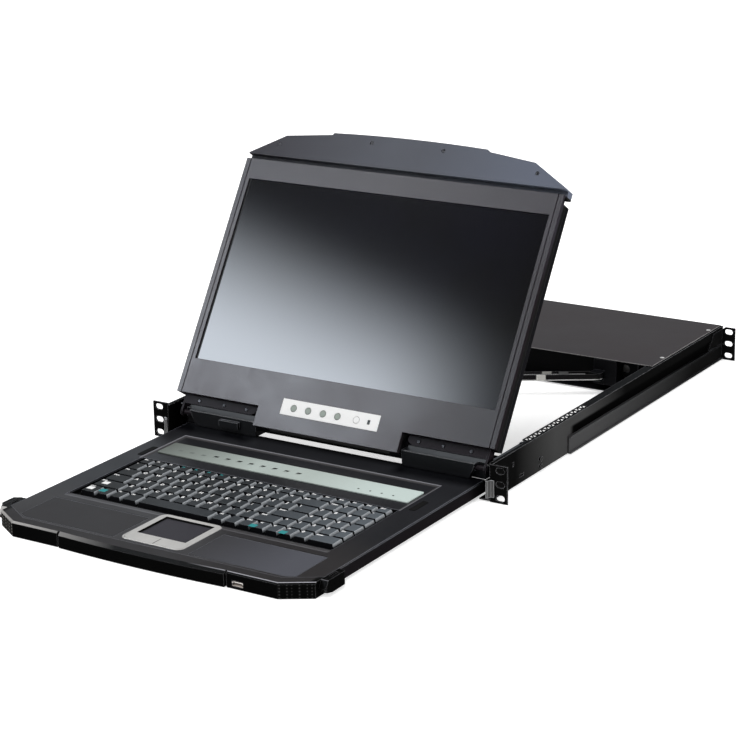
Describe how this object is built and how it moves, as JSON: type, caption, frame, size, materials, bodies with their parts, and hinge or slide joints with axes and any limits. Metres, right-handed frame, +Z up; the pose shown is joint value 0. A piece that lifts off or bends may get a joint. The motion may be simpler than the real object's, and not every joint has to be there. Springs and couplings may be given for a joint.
{
  "type": "rackmount lcd console drawer",
  "caption": "One-unit rack drawer with a pull-out keyboard and touch pad tray and a separate sliding, tilting flat screen, on side rails with a rear chassis and a folding cable arm.",
  "frame": {"origin": "middle of the front ears' bolt hole pattern, on the ears' front face", "axes": "+X to the right seen from the front, +Y back into the rack, +Z up; drawn pulled out with the screen raised"},
  "size_m": [0.4826, 0.9626, 0.346],
  "materials": {
    "rail_paint": "satin black powder coat",
    "slide_steel": "zinc plated",
    "runner_paint": "satin black",
    "chassis_paint": "fine textured black",
    "screw_chrome": "bright plated",
    "circuit_green": "solder mask",
    "supply_steel": "plated sheet",
    "socket_metal": "plated shells",
    "inlet_plastic": "moulded",
    "carriage_steel": "satin plated",
    "hinge_plastic": "smooth dark",
    "hinge_steel": "satin plated",
    "case_paint": "satin black",
    "bezel_plastic": "fine grain warm grey",
    "plate_plastic": "smooth pale",
    "button_plastic": "smooth grey-green",
    "light_plastic": "clear tinted",
    "screen_glass": "semi-gloss front",
    "handle_metal": "painted dark blue-grey",
    "deck_paint": "satin black",
    "deck_plastic": "fine grain black",
    "strip_plastic": "pale grey-green",
    "rest_rubber": "soft",
    "pad_silver": "satin silver",
    "pad_plastic": "smooth",
    "pad_button_plastic": "silver painted",
    "key_plastic": "dark slate",
    "arm_metal": "dark anodised",
    "cable_sleeve": "braided black"
  },
  "bodies": {
    "rack_frame": {"rail_left": "rail_paint", "rail_right": "rail_paint", "slide_outer_left": "slide_steel", "slide_outer_right": "slide_steel", "chassis_base": "chassis_paint", "chassis_front_panel": "chassis_paint", "chassis_cover": "chassis_paint", "cover_screws": "screw_chrome", "circuit_board": "circuit_green", "power_supply": "supply_steel", "rear_connectors": "socket_metal", "mains_inlet": "inlet_plastic", "arm_bracket": "chassis_paint"},
    "power_rocker": {"power_rocker": "inlet_plastic"},
    "rear_bracket_left": {"rear_bracket_left": "rail_paint"},
    "rear_bracket_right": {"rear_bracket_right": "rail_paint"},
    "release_lever_left": {"release_lever_left": "carriage_steel"},
    "release_lever_right": {"release_lever_right": "carriage_steel"},
    "screen_carriage": {"carriage_left": "carriage_steel", "carriage_right": "carriage_steel", "cross_bar": "chassis_paint", "hinge_housing_left": "hinge_plastic", "hinge_housing_right": "hinge_plastic", "hinge_pins": "screw_chrome"},
    "screen": {"screen_back_cover": "case_paint", "screen_bezel": "bezel_plastic", "lcd_panel": "screen_glass", "upper_handle": "handle_metal", "screen_screws": "screw_chrome", "osd_plate": "plate_plastic", "hinge_plate_left": "hinge_steel", "hinge_plate_right": "hinge_steel", "power_light": "light_plastic", "display_board": "circuit_green"},
    "menu_button": {"menu_button": "button_plastic"},
    "down_button": {"down_button": "button_plastic"},
    "up_button": {"up_button": "button_plastic"},
    "exit_button": {"exit_button": "button_plastic"},
    "screen_power_button": {"screen_power_button": "plate_plastic"},
    "keyboard_module": {"tray_base": "deck_paint", "deck_cover": "deck_paint", "keys": "key_plastic", "keyboard_plate": "deck_plastic", "status_strip": "strip_plastic", "palm_pads": "deck_plastic", "touchpad_frame": "pad_silver", "touchpad_surface": "pad_plastic", "rest_pads": "rest_rubber", "lower_handle": "deck_plastic", "usb_port": "socket_metal", "keyboard_runner_left": "runner_paint", "keyboard_runner_right": "runner_paint"},
    "left_pad_button": {"left_pad_button": "pad_button_plastic"},
    "right_pad_button": {"right_pad_button": "pad_button_plastic"},
    "side_catch_left": {"side_catch_left": "deck_plastic"},
    "side_catch_right": {"side_catch_right": "deck_plastic"},
    "arm_rear_link": {"arm_rear_link": "arm_metal", "arm_rear_cable": "cable_sleeve"},
    "arm_front_link": {"arm_front_link": "arm_metal", "arm_front_cable": "cable_sleeve"}
  },
  "joints": [
    {"name": "keyboard_slide", "type": "slide", "parent": "rack_frame", "child": "keyboard_module", "axis": [0, 1, 0], "range_m": [0, 0.3]},
    {"name": "screen_slide", "type": "slide", "parent": "rack_frame", "child": "screen_carriage", "axis": [0, 1, 0], "range_m": [0, 0.3]},
    {"name": "screen_tilt", "type": "hinge", "parent": "screen_carriage", "child": "screen", "pos_m": [0, 0.0153, 0.0093], "axis": [1, 0, 0], "range_deg": [-7.5, 122.5]},
    {"name": "menu_button_press", "type": "slide", "parent": "screen", "child": "menu_button", "axis": [0, 0.8434, -0.5373], "range_m": [0, 0.001], "stiffness_N_per_m": 600, "springref_m": -0.0005},
    {"name": "down_button_press", "type": "slide", "parent": "screen", "child": "down_button", "axis": [0, 0.8434, -0.5373], "range_m": [0, 0.001], "stiffness_N_per_m": 600, "springref_m": -0.0005},
    {"name": "up_button_press", "type": "slide", "parent": "screen", "child": "up_button", "axis": [0, 0.8434, -0.5373], "range_m": [0, 0.001], "stiffness_N_per_m": 600, "springref_m": -0.0005},
    {"name": "exit_button_press", "type": "slide", "parent": "screen", "child": "exit_button", "axis": [0, 0.8434, -0.5373], "range_m": [0, 0.001], "stiffness_N_per_m": 600, "springref_m": -0.0005},
    {"name": "screen_power_button_press", "type": "slide", "parent": "screen", "child": "screen_power_button", "axis": [0, 0.8434, -0.5373], "range_m": [0, 0.001], "stiffness_N_per_m": 600, "springref_m": -0.0005},
    {"name": "left_pad_button_press", "type": "slide", "parent": "keyboard_module", "child": "left_pad_button", "axis": [0, 0, -1], "range_m": [0, 0.0007], "stiffness_N_per_m": 600, "springref_m": -0.0005},
    {"name": "right_pad_button_press", "type": "slide", "parent": "keyboard_module", "child": "right_pad_button", "axis": [0, 0, -1], "range_m": [0, 0.0007], "stiffness_N_per_m": 600, "springref_m": -0.0005},
    {"name": "side_catch_left_slide", "type": "slide", "parent": "keyboard_module", "child": "side_catch_left", "axis": [0, -1, 0], "range_m": [0, 0.003], "stiffness_N_per_m": 500, "springref_m": -0.003},
    {"name": "side_catch_right_slide", "type": "slide", "parent": "keyboard_module", "child": "side_catch_right", "axis": [0, -1, 0], "range_m": [0, 0.003], "stiffness_N_per_m": 500, "springref_m": -0.003},
    {"name": "release_lever_right_swing", "type": "hinge", "parent": "rack_frame", "child": "release_lever_right", "pos_m": [0.2252, -0.0007, -0.006], "axis": [0, 0, 1], "range_deg": [0, 12], "stiffness_Nm_per_rad": 0.5, "springref_deg": -8.59},
    {"name": "release_lever_left_swing", "type": "hinge", "parent": "rack_frame", "child": "release_lever_left", "pos_m": [-0.2252, -0.0007, -0.006], "axis": [0, 0, -1], "range_deg": [0, 12], "stiffness_Nm_per_rad": 0.5, "springref_deg": -8.59},
    {"name": "rear_bracket_left_slide", "type": "slide", "parent": "rack_frame", "child": "rear_bracket_left", "axis": [0, 1, 0], "range_m": [-0.05, 0.15]},
    {"name": "rear_bracket_right_slide", "type": "slide", "parent": "rack_frame", "child": "rear_bracket_right", "axis": [0, 1, 0], "range_m": [-0.05, 0.15]},
    {"name": "power_rocker_tilt", "type": "hinge", "parent": "rack_frame", "child": "power_rocker", "pos_m": [0.112, 0.612, -0.001], "axis": [1, 0, 0], "range_deg": [-12, 0]},
    {"name": "arm_rear_pivot", "type": "hinge", "parent": "rack_frame", "child": "arm_rear_link", "pos_m": [0.146, 0.402, 0], "axis": [0, 0, 1], "range_deg": [-27.6, 0]},
    {"name": "arm_elbow", "type": "hinge", "parent": "arm_rear_link", "child": "arm_front_link", "pos_m": [-0.13744, 0.233, 0], "axis": [0, 0, 1], "range_deg": [0, 55.1]}
  ],
  "couplings": [
    {"joint": "arm_rear_pivot", "follows": "screen_slide", "rad_per_m": -1.6},
    {"joint": "arm_elbow", "follows": "screen_slide", "rad_per_m": 3.2}
  ]
}
